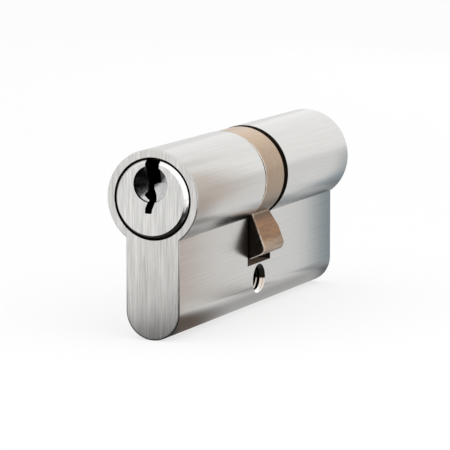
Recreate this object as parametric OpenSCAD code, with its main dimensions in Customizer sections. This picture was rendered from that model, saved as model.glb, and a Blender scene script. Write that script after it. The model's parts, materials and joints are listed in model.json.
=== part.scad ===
// Euro profile double cylinder with five pin stacks a side.
// The origin is on the axis that the plugs and the cam turn about, midway along the
// cylinder. +Y runs from the outside face to the inside face, +Z points away from the
// stem, and each half is built facing -Y and mirrored for the inside.

/* [Profile] */
// Overall length of the housing
length = 70; // [66:1:90]
// Diameter of the round part of the profile
barrel_d = 17; // [17:0.1:17.2]
// Width of the stem
stem_w = 10; // [10:0.1:10.2]
// Overall height of the profile
profile_h = 33; // [32.8:0.1:33.2]
// Radius on the edges of the two end faces
edge_r = 0.25; // [0.1:0.05:0.4]

/* [Cam slot and screw] */
// Width of the slot that the cam turns in
slot_w = 10.4; // [10.2:0.1:10.8]
// Distance of the slot's floor below the axis
slot_floor = 15.65; // [15.5:0.05:15.8]
// Distance of the fixing screw's hole below the axis
screw_drop = 18.7; // [18.6:0.1:19]
// Bore of the fixing screw's M5 thread
screw_d = 4.2; // [4.2:0.05:4.3]
// Diameter of the countersink at each end of the screw's hole
screw_sink_d = 5.4; // [5:0.1:5.8]

/* [Plugs] */
// Diameter of each plug
plug_d = 13; // [12.9:0.05:13.1]
// Diameter of the flange on each plug's face
head_d = 13.8; // [13.6:0.1:14]
// Diameter of the seat that the flange turns in
seat_d = 14.2; // [14.1:0.1:14.6]
// Depth of that seat
head_seat = 1.7; // [1.5:0.1:2]
// How far a plug's face stands proud of the housing
head_proud = 0.75; // [0.3:0.05:1]
// Width of the bevel round the flange
head_bevel = 0.6; // [0.4:0.05:0.8]
// Diameter of the key guide sunk in each plug's face
guide_d = 6.4; // [6.2:0.1:6.8]
// Distance of the key guide above the axis
guide_rise = 2.6; // [2.4:0.1:2.7]

/* [Pin stacks] */
// Pin stacks in each half
stacks = 5; // [4:1:5]
// Distance of the first stack from the end face
first_stack = 7.5; // [7:0.5:8]
// Distance between stacks
stack_pitch = 4; // [3.8:0.1:4]
// Diameter of the pins
pin_d = 2.9; // [2.7:0.05:2.9]
// Length of the driver pins
driver_l = 5.5; // [5:0.5:6]
// Length of the brass plug that closes each chamber
chamber_plug_l = 2.5; // [2:0.5:3]
// Wire diameter of the pin springs
spring_wire_d = 0.34; // [0.3:0.02:0.36]

/* [Cam] */
// Radius of the cam's ring
cam_r = 8.4; // [8.3:0.05:8.45]
// Radius that the cam's tongue reaches
tongue_r = 15.35; // [14.9:0.05:15.4]
// Width of the tongue across the slot
tongue_w = 9.3; // [8.6:0.1:9.6]
// Angle of the tongue from straight down
tongue_angle = 24; // [0:1:30]

/* [Hidden] */
$fn = 96;
half_l = length / 2;
barrel_r = barrel_d / 2;
stem_r = stem_w / 2;
stem_centre = -(profile_h - barrel_r - stem_r);
slot_half = slot_w / 2;
past = 1;

run_gap = 0.03;
fit_gap = 0.02;
end_gap = 0.05;
mouth_edge = 0.06;

plug_r = plug_d / 2;
bore_r = plug_r + run_gap;
head_r = head_d / 2;
seat_r = seat_d / 2;
face_y = -half_l - head_proud;
head_back = -half_l + head_seat - end_gap;
plug_end = -1.1;

clip_y = -slot_half + end_gap;
clip_t = 0.8;
clip_r = 7.6;
groove_r = 5.85;

coupling_w = 2.9;
coupling_l = 8.9;
coupling_y0 = -3;
coupling_y1 = 1;
coupling_travel = 2;
nose_r = 1.4;
nose_y = -7.6;

cam_y0 = -4.6;
cam_y1 = 3.7;
cam_hub_y1 = slot_half - end_gap - 0.9;
cam_hub_r = 7.4;
cam_web = 0.85;
tongue_root_w = 5.3;
tongue_tip_w = 4.7;
tongue_round = 1.3;
tongue_y1 = cam_y0 + tongue_w;
flare_start = 9.3;
flare_end = 11.3;

pin_r = pin_d / 2;
chamber_r = pin_r + 0.05;
driver_top = -plug_r - fit_gap;
driver_end = driver_top - driver_l;
key_pin_end = -plug_r + 0.06;
pin_hole_top = 2.3;
guide_depth = 1.7;
chamber_plug_top = stem_centre - stem_r + chamber_plug_l;
spring_r = pin_r - spring_wire_d / 2 - 0.12;

guard_stem_r = 1.25;
guard_stem_y = -half_l + 3.4;
guard_stem_top = -8;
guard_plug_r = 0.75;
guard_plug_x = 3.6;
guard_plug_y = -half_l + 3.2;
guard_plug_end = 4.7;

// Heights of the key pins' tips with the right key in the plug, from the face inwards
outside_cuts = [-0.2, 0.8, -1.2, 0.3, -0.7];
inside_cuts = [0.5, -0.9, 0.1, -1.4, 0.9];

// The key's channel in X and Z: its left side downwards, then its right side upwards
keyway_points = [
    [-1, 7.6], [-1, 1.2], [-1.4, 0.9], [-1.4, 0.5], [-0.4, -0.25], [-1, -1.5],
    [-1.05, -2.45], [0.2, -2.45], [0.3, -1.75], [0.95, -0.25], [0.7, 0.75],
    [0, 1.8], [0, 2.4], [0.6, 2.7], [1.45, 2.85], [1.6, 4.6], [1.6, 7.6]
];

// The brass parts are plated where they show
nickel = [0.78, 0.77, 0.75];
bright_nickel = [0.80, 0.80, 0.79];
cam_steel = [0.66, 0.58, 0.49];
hard_steel = [0.42, 0.43, 0.46];
spring_steel = [0.62, 0.63, 0.65];
brass = [0.78, 0.62, 0.32];

// Distance along the cylinder of one pin stack in the outside half
function stack_y(i) = -half_l + first_stack + i * stack_pitch;

// A point on the spring's helix at t from 0 to 1, with a closed turn at each end
function coil_point(t, turns, low, high) =
    let (
        open_turns = turns - 2,
        shut = spring_wire_d * 1.08,
        turn = t * turns,
        rise = high - low - 2 * shut,
        z = turn < 1 ? low + turn * shut
          : turn > turns - 1 ? high - (turns - turn) * shut
          : low + shut + (turn - 1) / open_turns * rise
    )
    [spring_r * cos(360 * turn), spring_r * sin(360 * turn), z];

// Gives its children to the inside half: a half turn about the stem's own direction
module inside() {
    rotate([0, 0, 180]) children();
}

// A cylinder along Y
module rod_y(r, y0, y1) {
    translate([0, y0, 0]) rotate([-90, 0, 0]) cylinder(r = r, h = y1 - y0);
}

// An outline drawn in X and Z, carried along Y
module along_y(y0, y1) {
    translate([0, y1, 0]) rotate([90, 0, 0]) linear_extrude(y1 - y0) children();
}

// A turned shape: an outline of radius and distance, spun about the Y axis
module turned_y(points) {
    rotate([-90, 0, 0]) rotate_extrude() polygon(points);
}

// Half the section of a bar from -half_l to half_l with rounded end edges
module rounded_half_section(r) {
    translate([0, -half_l]) square([r - edge_r, length]);
    translate([0, -half_l + edge_r]) square([r, length - 2 * edge_r]);
    for (side = [-1, 1]) {
        translate([r - edge_r, side * (half_l - edge_r)]) circle(edge_r);
    }
}

module rounded_bar(r) {
    rotate([-90, 0, 0]) rotate_extrude() rounded_half_section(r);
}

module stem_block() {
    translate([0, 0, stem_centre]) linear_extrude(-stem_centre) {
        square([2 * stem_r - 2 * edge_r, length], center = true);
        square([2 * stem_r, length - 2 * edge_r], center = true);
        for (sx = [-1, 1], sy = [-1, 1]) {
            translate([sx * (stem_r - edge_r), sy * (half_l - edge_r)]) circle(edge_r);
        }
    }
}

module profile_blank() {
    rounded_bar(barrel_r);
    stem_block();
    translate([0, 0, stem_centre]) rounded_bar(stem_r);
}

// What is cut from one half of the housing: flange seat, pin chambers and guard hole
module half_cuts() {
    rod_y(seat_r, -half_l - past, -half_l + head_seat);
    turned_y([
        [0, -half_l - past], [seat_r + mouth_edge + past, -half_l - past],
        [seat_r, -half_l + mouth_edge], [0, -half_l + mouth_edge]
    ]);
    for (i = [0 : stacks - 1]) {
        translate([0, stack_y(i), -profile_h]) cylinder(r = chamber_r, h = profile_h - 5);
    }
    translate([0, guard_stem_y, -profile_h])
        cylinder(r = guard_stem_r + fit_gap, h = profile_h + guard_stem_top);
}

module screw_hole() {
    translate([0, 0, -screw_drop]) rotate([0, 90, 0]) {
        cylinder(r = screw_d / 2, h = 2 * stem_r + 2 * past, center = true);
        for (side = [0, 1]) {
            mirror([0, 0, side]) translate([0, 0, stem_r - 0.5])
                cylinder(r1 = screw_d / 2, r2 = screw_sink_d / 2 + 0.12, h = 0.6);
        }
    }
}

module housing() {
    color(nickel) difference() {
        profile_blank();
        rod_y(bore_r, -half_l - past, half_l + past);
        translate([-barrel_d, -slot_half, -slot_floor])
            cube([2 * barrel_d, slot_w, slot_floor + barrel_d]);
        half_cuts();
        inside() half_cuts();
        screw_hole();
    }
}

// Outline of a plug's turned blank, as radius and distance, from the face inwards
plug_blank = [
    [0, face_y], [head_r - head_bevel - 0.05, face_y], [head_r - head_bevel, face_y + 0.03],
    [head_r, -half_l], [head_r, head_back],
    [plug_r, head_back], [plug_r, clip_y - 0.02], [groove_r, clip_y - 0.02],
    [groove_r, clip_y + clip_t + 0.02], [plug_r, clip_y + clip_t + 0.02],
    [plug_r, plug_end - 0.2], [plug_r - 0.2, plug_end], [0, plug_end]
];

// The dished key guide round the mouth of the keyway
module key_guide() {
    translate([0, 0, guide_rise]) turned_y([
        [0, face_y - past], [guide_d / 2, face_y - past], [guide_d / 2, face_y + 0.25],
        [guide_d / 2 - 0.12, face_y + 0.4], [0.6, face_y + guide_depth],
        [0, face_y + guide_depth]
    ]);
}

module plug() {
    color(bright_nickel) difference() {
        turned_y(plug_blank);
        along_y(face_y - past, plug_end + past) polygon(keyway_points);
        key_guide();
        for (i = [0 : stacks - 1]) {
            translate([0, stack_y(i), -plug_r - past])
                cylinder(r = chamber_r, h = plug_r + past + pin_hole_top);
        }
        translate([-coupling_w / 2 - end_gap, coupling_y0 - coupling_travel - 0.1,
                   -coupling_l / 2 - end_gap])
            cube([coupling_w + 2 * end_gap, 8, coupling_l + 2 * end_gap]);
        rod_y(nose_r + end_gap, nose_y - coupling_travel - 0.1, plug_end);
        for (side = [-1, 1]) {
            translate([side * guard_plug_x, guard_plug_y, -plug_r - past])
                cylinder(r = guard_plug_r + fit_gap,
                         h = plug_r + past + guard_plug_end + end_gap);
        }
    }
}

// Two hardened rods beside the keyway, just behind the face
module plug_guards() {
    color(hard_steel) for (side = [-1, 1]) {
        translate([side * guard_plug_x, guard_plug_y, -guard_plug_end])
            cylinder(r = guard_plug_r, h = 2 * guard_plug_end);
    }
}

// A hardened rod in the stem, ahead of the first pin chamber
module stem_guard() {
    color(hard_steel) intersection() {
        translate([0, guard_stem_y, -profile_h])
            cylinder(r = guard_stem_r, h = profile_h + guard_stem_top - end_gap);
        union() {
            translate([0, 0, stem_centre]) rod_y(stem_r, -half_l, half_l);
            translate([-stem_r, -half_l, stem_centre]) cube([2 * stem_r, length, 20]);
        }
    }
}

// Spring clip in the groove behind the slot's wall, open towards the stem
module circlip() {
    color(spring_steel) difference() {
        rod_y(clip_r, clip_y, clip_y + clip_t);
        rod_y(groove_r + fit_gap, clip_y - past, clip_y + clip_t + past);
        translate([-1.6, clip_y - past, -clip_r - past])
            cube([3.2, clip_t + 2 * past, clip_r + past - 2]);
        for (side = [-1, 1]) {
            translate([side * 2.9, 0, -6.75]) rod_y(0.45, clip_y - past, clip_y + clip_t + past);
        }
    }
}

// Slides in its plug's rear slot; the nose is what the key's tip pushes
module coupling(slide) {
    color(hard_steel) translate([0, slide, 0]) {
        translate([-coupling_w / 2, coupling_y0, -coupling_l / 2])
            cube([coupling_w, coupling_y1 - coupling_y0, coupling_l]);
        turned_y([
            [0, nose_y], [nose_r - 0.5, nose_y], [nose_r, nose_y + 0.7],
            [nose_r, coupling_y0 + 0.2], [0, coupling_y0 + 0.2]
        ]);
    }
}

// The tongue's outline in X and Z, pointing straight down
module tongue_outline() {
    root = -cam_r + 1.2;
    end = -tongue_r + 0.001;
    intersection() {
        union() {
            polygon([
                [-tongue_root_w / 2, root], [tongue_root_w / 2, root],
                [tongue_tip_w / 2, end + tongue_round],
                [-tongue_tip_w / 2, end + tongue_round]
            ]);
            polygon([
                [-tongue_tip_w / 2 + tongue_round, end + tongue_round + 0.5],
                [tongue_tip_w / 2 - tongue_round, end + tongue_round + 0.5],
                [tongue_tip_w / 2 - tongue_round, end - 0.2],
                [-tongue_tip_w / 2 + tongue_round, end - 0.2]
            ]);
            for (side = [-1, 1]) {
                translate([side * (tongue_tip_w / 2 - tongue_round), end + tongue_round + 0.02])
                    circle(tongue_round);
            }
        }
        circle(tongue_r);
    }
}

// As wide as the ring at its root, and flared across the slot beyond that
module cam_tongue() {
    rotate([0, -tongue_angle, 0]) difference() {
        along_y(cam_y0, tongue_y1) tongue_outline();
        rotate([90, 0, 90]) linear_extrude(2 * tongue_root_w, center = true) polygon([
            [cam_y1, 0], [cam_y1, -flare_start], [tongue_y1, -flare_end],
            [tongue_y1 + past, -flare_end], [tongue_y1 + past, 0]
        ]);
    }
}

module cam() {
    color(cam_steel) difference() {
        union() {
            turned_y([
                [0, cam_y0], [cam_r - 0.2, cam_y0], [cam_r, cam_y0 + 0.2],
                [cam_r, cam_y1 - 0.2], [cam_r - 0.2, cam_y1], [cam_hub_r, cam_y1],
                [cam_hub_r, cam_hub_y1], [0, cam_hub_y1]
            ]);
            cam_tongue();
        }
        rod_y(bore_r, cam_y0 - past, -cam_web);
        rod_y(bore_r, cam_web, cam_hub_y1 + past);
        rod_y(clip_r + 0.2, cam_y0 - past, clip_y + clip_t + 0.15);
        rod_y(3.2, -cam_web - past, cam_web + past);
        translate([-coupling_w / 2 - end_gap, -cam_web - past, -coupling_l / 2 - end_gap])
            cube([coupling_w + 2 * end_gap, 2 * (cam_web + past), coupling_l + 2 * end_gap]);
    }
}

// Pointed at the key, with an eased foot on the shear line
module key_pin(i, cuts) {
    tip = cuts[i];
    color(brass) translate([0, stack_y(i), 0]) rotate_extrude() polygon([
        [0, key_pin_end], [0.7, key_pin_end], [pin_r, key_pin_end + 0.3],
        [pin_r, tip - 0.85], [0.45, tip], [0, tip]
    ]);
}

// Plain and spool drivers alternate along the row
module driver_pin(i) {
    waist = i % 2 == 1 ? pin_r - 0.4 : pin_r;
    color(hard_steel) translate([0, stack_y(i), 0]) rotate_extrude() polygon([
        [0, driver_end], [pin_r - 0.25, driver_end], [pin_r, driver_end + 0.25],
        [pin_r, driver_end + 1.3], [waist, driver_end + 1.7],
        [waist, driver_top - 1.4], [pin_r, driver_top - 1.0],
        [pin_r, driver_top - 0.15], [pin_r - 0.15, driver_top], [0, driver_top]
    ]);
}

module pin_spring(i) {
    turns = 8;
    per_turn = 12;
    sides = 6;
    wire_r = spring_wire_d / 2;
    low = chamber_plug_top + wire_r + 0.03;
    high = driver_end - wire_r - 0.03;
    rings = turns * per_turn;
    points = [
        for (k = [0 : rings])
            let (
                p = coil_point(k / rings, turns, low, high),
                a = 360 * k / per_turn
            )
            for (s = [0 : sides - 1])
                let (b = 360 * s / sides)
                [p.x + wire_r * cos(b) * cos(a), p.y + wire_r * cos(b) * sin(a),
                 p.z + wire_r * sin(b)]
    ];
    walls = [
        for (k = [0 : rings - 1], s = [0 : sides - 1])
            let (n = (s + 1) % sides)
            [k * sides + s, (k + 1) * sides + s, (k + 1) * sides + n, k * sides + n]
    ];
    ends = [
        [for (s = [0 : sides - 1]) s],
        [for (s = [0 : sides - 1]) rings * sides + sides - 1 - s]
    ];
    color(spring_steel) translate([0, stack_y(i), 0]) polyhedron(points, concat(walls, ends));
}

// Brass slugs that close the chambers, dressed flush with the stem's round
module chamber_plugs() {
    color(brass) intersection() {
        for (i = [0 : stacks - 1]) {
            translate([0, stack_y(i), -profile_h])
                cylinder(r = chamber_r - fit_gap, h = profile_h + chamber_plug_top);
        }
        translate([0, 0, stem_centre]) rod_y(stem_r, -half_l, half_l);
    }
}

housing();
plug();  // outside_plug
inside() plug();  // inside_plug
cam();
circlip();  // outside_circlip
inside() circlip();  // inside_circlip
coupling(0);  // outside_coupling
inside() coupling(-coupling_travel - end_gap);  // inside_coupling
chamber_plugs();  // outside_chamber_plugs
inside() chamber_plugs();  // inside_chamber_plugs
stem_guard();  // outside_stem_guard
inside() stem_guard();  // inside_stem_guard
plug_guards();  // outside_plug_guards
inside() plug_guards();  // inside_plug_guards

for (i = [0 : stacks - 1]) {
    n = i + 1;
    key_pin(i, outside_cuts);
    inside() key_pin(i, inside_cuts);
    driver_pin(i);
    inside() driver_pin(i);
    pin_spring(i);
    inside() pin_spring(i);
}
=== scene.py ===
"""Euro profile double cylinder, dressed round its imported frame.

The classes keep their sizes in millimetres, and each finished mesh is scaled to metres.
The plugs and the cam turn about Y through the origin, the outside face is at -Y and the
stem hangs down in -Z. The inside half is the outside one turned half round about Z.
"""

import json
import logging
import math
from collections.abc import Callable, Sequence
from dataclasses import dataclass
from enum import Enum, IntEnum
from typing import Any

import bmesh
import bpy
from mathutils import Matrix, Vector


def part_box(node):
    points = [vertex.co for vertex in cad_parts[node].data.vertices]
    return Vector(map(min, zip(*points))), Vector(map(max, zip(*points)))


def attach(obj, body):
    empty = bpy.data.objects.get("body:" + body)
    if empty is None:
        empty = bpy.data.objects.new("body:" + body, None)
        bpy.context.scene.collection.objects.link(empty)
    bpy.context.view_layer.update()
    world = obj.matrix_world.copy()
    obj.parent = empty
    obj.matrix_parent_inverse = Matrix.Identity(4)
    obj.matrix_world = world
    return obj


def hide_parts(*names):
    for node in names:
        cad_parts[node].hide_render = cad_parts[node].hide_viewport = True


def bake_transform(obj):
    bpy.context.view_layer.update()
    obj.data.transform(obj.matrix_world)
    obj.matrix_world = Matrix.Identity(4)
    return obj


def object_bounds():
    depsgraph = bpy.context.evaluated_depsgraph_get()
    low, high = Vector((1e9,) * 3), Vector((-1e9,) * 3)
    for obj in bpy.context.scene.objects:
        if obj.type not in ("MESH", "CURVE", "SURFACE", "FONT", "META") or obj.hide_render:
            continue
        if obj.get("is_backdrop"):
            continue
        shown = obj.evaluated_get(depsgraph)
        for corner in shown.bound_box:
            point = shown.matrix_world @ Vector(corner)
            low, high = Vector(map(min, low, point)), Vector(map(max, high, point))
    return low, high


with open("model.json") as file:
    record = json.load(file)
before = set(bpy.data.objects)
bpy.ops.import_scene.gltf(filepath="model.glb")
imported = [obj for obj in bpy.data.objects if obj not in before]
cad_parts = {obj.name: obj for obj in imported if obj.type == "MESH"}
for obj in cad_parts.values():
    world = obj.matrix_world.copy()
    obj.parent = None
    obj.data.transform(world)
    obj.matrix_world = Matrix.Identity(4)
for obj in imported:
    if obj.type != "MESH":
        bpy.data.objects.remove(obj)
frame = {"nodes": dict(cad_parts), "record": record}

LOG = logging.getLogger("cylinder")
MM = 0.001
TOUCH = 1e-4
FULL_TURN = 2 * math.pi

Point = tuple[float, float]
Place = tuple[float, float, float]
Colour = tuple[float, float, float]
Bounds = tuple[float, float]
Band = tuple[float, float, float, float]


class Axis(Enum):
    """The line that a shape is spun about: the turn that lays Z along it."""

    X = (90, "Y")
    Y = (-90, "X")
    Z = (0, "Z")

    def turn(self) -> Matrix:
        """Gives the rotation that lays Z along this axis."""
        angle, about = self.value
        return Matrix.Rotation(math.radians(angle), 4, about)


class Half(Enum):
    """One of the two halves, by the name that its nodes start with."""

    OUTSIDE = "outside"
    INSIDE = "inside"

    def turn(self) -> Matrix:
        """Gives the rotation that carries the outside half's shapes to this half."""
        return Matrix.Rotation(math.pi if self is Half.INSIDE else 0, 4, "Z")

    def node(self, name: str) -> str:
        """Names this half's own node."""
        return f"{self.value}_{name}"


class Face(IntEnum):
    """Which of a piece's finishes a face wears."""

    OUTER = 0
    # Cut walls: the housing, plugs and cam give them a near-black finish, which is painted shade.
    CUT = 1
    GUIDE = 2
    RIM = 3


@dataclass(frozen=True)
class Extent:
    """The box of a node at rest, in millimetres."""

    low: Vector
    high: Vector

    @classmethod
    def of(cls, node: str) -> "Extent":
        """Reads a node's box from the frame."""
        low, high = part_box(node)
        return cls(low / MM, high / MM)

    @property
    def middle(self) -> Vector:
        """The centre of the box."""
        return (self.low + self.high) / 2

    @property
    def size(self) -> Vector:
        """The three sides of the box."""
        return self.high - self.low


def grey(value: float) -> Colour:
    """Gives an even grey."""
    return (value, value, value)


def arc(centre: Point, radius: float, start: float, end: float, steps: int) -> list[Point]:
    """Lays points along a round stretch of an outline.

    Args:
        centre: The middle of the arc.
        radius: Its radius.
        start: The angle of its first point in degrees.
        end: The angle of its last point in degrees.
        steps: How many chords it has.

    Returns:
        The points, both ends included.
    """
    angles = (math.radians(start + (end - start) * n / steps) for n in range(steps + 1))
    return [(centre[0] + radius * math.cos(a), centre[1] + radius * math.sin(a)) for a in angles]


def settled(name: str, body: bmesh.types.BMesh) -> bpy.types.Mesh:
    """Turns a mesh in the making into a finished one.

    Args:
        name: The mesh's name.
        body: The mesh in the making, which stays as it is.

    Returns:
        The finished mesh.
    """
    mesh = bpy.data.meshes.new(name)
    body.to_mesh(mesh)
    return mesh


def placed(name: str, data: bpy.types.ID) -> bpy.types.Object:
    """Puts an object in the scene.

    Args:
        name: The object's name.
        data: Its mesh, lamp or camera.

    Returns:
        The object.
    """
    obj = bpy.data.objects.new(name, data)
    bpy.context.scene.collection.objects.link(obj)
    return obj


class Solid:
    """A closed body in the making, in millimetres."""

    def __init__(self) -> None:
        """Starts with nothing in it."""
        self.mesh = bmesh.new()

    # Starting shapes

    @classmethod
    def plate(cls, outline: Sequence[Point], ease: float = 0,
              sharp: Sequence[int] = ()) -> "Solid":
        """Makes a flat face in X and Z with its corners rounded.

        Args:
            outline: The corners, in order.
            ease: The width of the rounding.
            sharp: The corners, by their place in the outline, that stay as they are.

        Returns:
            The open face.
        """
        solid = cls()
        corners = [solid.mesh.verts.new((x, 0, z)) for x, z in outline]
        solid.mesh.faces.new(corners)
        if ease:
            soft = [c for n, c in enumerate(corners) if n not in sharp and abs(c.co.x) > TOUCH]
            bmesh.ops.bevel(
                solid.mesh, geom=soft, affect="VERTICES", offset=ease, offset_type="OFFSET",
                segments=3, profile=0.5, material=-1, clamp_overlap=True,
            )
        return solid

    @classmethod
    def bar(cls, outline: Sequence[Point], start: float, end: float, ease: float = 0,
            sharp: Sequence[int] = ()) -> "Solid":
        """Draws an outline in X and Z out along Y.

        Args:
            outline: The corners, in order.
            start: Where the bar starts.
            end: Where it ends.
            ease: The rounding of its long edges.
            sharp: The corners that stay as they are.

        Returns:
            The bar.
        """
        solid = cls.plate(outline, ease, sharp)
        made = bmesh.ops.extrude_face_region(solid.mesh, geom=solid.mesh.faces[:])
        far = [v for v in made["geom"] if isinstance(v, bmesh.types.BMVert)]
        bmesh.ops.translate(solid.mesh, verts=far, vec=(0, end - start, 0))
        return solid.moved((0, start, 0)).outward()

    @classmethod
    def turned(cls, outline: Sequence[Point], axis: Axis = Axis.Y, ease: float = 0,
               steps: int = 96, sharp: Sequence[int] = ()) -> "Solid":
        """Spins an outline of radius and distance about an axis.

        Args:
            outline: The section as radius and distance. It closes along the axis.
            axis: The axis that it turns about.
            ease: The rounding of its corners.
            steps: How many facets go round it.
            sharp: The corners that stay as they are.

        Returns:
            The turned body.
        """
        solid = cls.plate(outline, ease, sharp)
        mesh = solid.mesh
        bmesh.ops.delete(mesh, geom=mesh.faces[:], context="FACES_KEEP_BOUNDARY")
        core = [e for e in mesh.edges if all(abs(v.co.x) < TOUCH for v in e.verts)]
        bmesh.ops.delete(mesh, geom=core, context="EDGES")
        bmesh.ops.spin(
            mesh, geom=[*mesh.verts, *mesh.edges], cent=(0, 0, 0), axis=(0, 0, 1),
            dvec=(0, 0, 0), angle=FULL_TURN, steps=steps, use_merge=True, use_duplicate=False,
        )
        bmesh.ops.remove_doubles(mesh, verts=mesh.verts[:], dist=TOUCH)
        return solid.swung(axis.turn()).outward()

    @classmethod
    def block(cls, low: Place, high: Place) -> "Solid":
        """Makes a block between two corners.

        Args:
            low: Its lowest corner.
            high: Its highest corner.

        Returns:
            The block.
        """
        solid = cls()
        size = Vector(high) - Vector(low)
        shape = Matrix.Translation((Vector(low) + Vector(high)) / 2) @ Matrix.Diagonal((*size, 1))
        bmesh.ops.create_cube(solid.mesh, size=1, matrix=shape)
        return solid

    @classmethod
    def rod(cls, foot: Place, length: float, radius: float, axis: Axis = Axis.Z,
            end_radius: float | None = None, steps: int = 48) -> "Solid":
        """Makes a straight or tapered rod.

        Args:
            foot: The middle of its first end.
            length: How far it goes along the axis.
            radius: Its radius at the foot.
            axis: The axis that it lies along.
            end_radius: Its radius at the other end, where that differs.
            steps: How many facets go round it.

        Returns:
            The rod.
        """
        solid = cls()
        bmesh.ops.create_cone(
            solid.mesh, cap_ends=True, cap_tris=False, segments=steps, radius1=radius,
            radius2=radius if end_radius is None else end_radius, depth=length,
            matrix=Matrix.Translation((0, 0, length / 2)),
        )
        return solid.swung(axis.turn()).moved(foot)

    @classmethod
    def gathered(cls, parts: Sequence["Solid"]) -> "Solid":
        """Puts bodies that don't touch into one.

        Args:
            parts: The bodies.

        Returns:
            One body that holds them all.
        """
        whole = cls()
        for part in parts:
            held = settled("part", part.mesh)
            whole.mesh.from_mesh(held)
            bpy.data.meshes.remove(held)
        return whole

    # Moving and marking

    def swung(self, turn: Matrix) -> "Solid":
        """Turns the body about the origin."""
        bmesh.ops.transform(self.mesh, matrix=turn, verts=self.mesh.verts[:])
        return self

    def moved(self, step: Sequence[float]) -> "Solid":
        """Shifts the body."""
        bmesh.ops.translate(self.mesh, verts=self.mesh.verts[:], vec=step)
        return self

    def outward(self) -> "Solid":
        """Points every face outwards."""
        bmesh.ops.recalc_face_normals(self.mesh, faces=self.mesh.faces[:])
        return self

    def wearing(self, finish: Face, chosen: Callable[[Vector], bool] | None = None) -> "Solid":
        """Says which finish faces wear.

        Args:
            finish: The finish.
            chosen: Picks faces by their middle. Without it every face is picked.

        Returns:
            This body.
        """
        for face in self.mesh.faces:
            if chosen is None or chosen(face.calc_center_median()):
                face.material_index = finish
        return self

    # Shaping

    def softened(self, width: float, chosen: Callable[[bmesh.types.BMEdge], bool],
                 steps: int = 2, finish: Face | None = None) -> "Solid":
        """Rounds some edges.

        Args:
            width: How far the rounding reaches from the edge.
            chosen: Picks the edges.
            steps: How many facets cross the rounding.
            finish: What the rounding wears, where that differs from its neighbours.

        Returns:
            This body.
        """
        edges = [e for e in self.mesh.edges if chosen(e)]
        made = bmesh.ops.bevel(
            self.mesh, geom=edges, affect="EDGES", offset=width, offset_type="OFFSET",
            segments=steps, profile=0.5, material=-1, clamp_overlap=True,
        )
        if finish is not None:
            for face in made["faces"]:
                face.material_index = finish
        return self

    def cut(self, *tools: "Solid") -> "Solid":
        """Takes other bodies away from this one.

        Args:
            tools: The bodies to take away.

        Returns:
            This body.
        """
        for tool in tools:
            self._combine(tool, "DIFFERENCE")
        return self

    def joined(self, *others: "Solid") -> "Solid":
        """Melts other bodies into this one.

        Args:
            others: The bodies to melt in.

        Returns:
            This body.
        """
        for other in others:
            self._combine(other, "UNION")
        return self

    def _combine(self, other: "Solid", operation: str) -> None:
        """Replaces the mesh by the result of a Boolean operation on two bodies.

        Args:
            other: The second body.
            operation: DIFFERENCE or UNION.
        """
        body, tool = self._stand_in("body"), other._stand_in("tool")
        modifier = body.modifiers.new("combine", "BOOLEAN")
        modifier.operation, modifier.solver, modifier.object = operation, "EXACT", tool
        graph = bpy.context.evaluated_depsgraph_get()
        self.mesh.clear()
        self.mesh.from_object(body, graph)
        bmesh.ops.remove_doubles(self.mesh, verts=self.mesh.verts[:], dist=TOUCH)
        bmesh.ops.dissolve_degenerate(self.mesh, edges=self.mesh.edges[:], dist=TOUCH)
        for used in (body, tool):
            shape = used.data
            bpy.data.objects.remove(used)
            bpy.data.meshes.remove(shape)

    def _stand_in(self, name: str) -> bpy.types.Object:
        """Gives the body as an object that a modifier can work on.

        Args:
            name: The object's name.

        Returns:
            The object.
        """
        mesh = settled(name, self.mesh)
        for _ in Face:
            mesh.materials.append(None)
        return placed(name, mesh)

    # Handing over

    def piece(self, name: str, finishes: Sequence[bpy.types.Material],
              crease: float = 32) -> bpy.types.Object:
        """Turns the body into a finished object in metres.

        Args:
            name: The piece's name.
            finishes: Its materials, in the order of Face.
            crease: The angle in degrees past which an edge stays sharp.

        Returns:
            The object, at the origin.
        """
        bmesh.ops.scale(self.mesh, vec=(MM, MM, MM), verts=self.mesh.verts[:])
        for face in self.mesh.faces:
            face.smooth = True
        mesh = settled(name, self.mesh)
        self.mesh.free()
        mesh.set_sharp_from_angle(angle=math.radians(crease))
        for finish in finishes:
            mesh.materials.append(finish)
        obj = placed(name, mesh)
        shading = obj.modifiers.new("even_shading", "WEIGHTED_NORMAL")
        shading.keep_sharp = True
        graph = bpy.context.evaluated_depsgraph_get()
        shaded = bpy.data.meshes.new_from_object(obj.evaluated_get(graph))
        obj.modifiers.clear()
        obj.data = shaded
        shaded.name = name
        bpy.data.meshes.remove(mesh)
        return obj


def along(axis: int, value: float) -> Callable[[bmesh.types.BMEdge], bool]:
    """Picks the edges that lie in a plane.

    Args:
        axis: 0, 1 or 2 for X, Y or Z.
        value: The plane's distance from the origin, on either side of it.

    Returns:
        The test for one edge.
    """
    def lies(edge: bmesh.types.BMEdge) -> bool:
        """Says whether both ends of an edge lie in the plane."""
        first, second = (v.co[axis] for v in edge.verts)
        return abs(abs(first) - value) < TOUCH and abs(first - second) < TOUCH
    return lies


def hand_over(piece: bpy.types.Object, body: str, slot: str, *nodes: str) -> None:
    """Ties a finished piece to the frame and reports it.

    Args:
        piece: The piece.
        body: The body that it moves with.
        slot: The record's material slot. Not used.
        nodes: The nodes that it stands for.
    """
    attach(piece, body)
    if nodes:
        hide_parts(*nodes)
    LOG.info("%s: %d faces on %s", piece.name, len(piece.data.polygons), body)


# Materials


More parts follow.
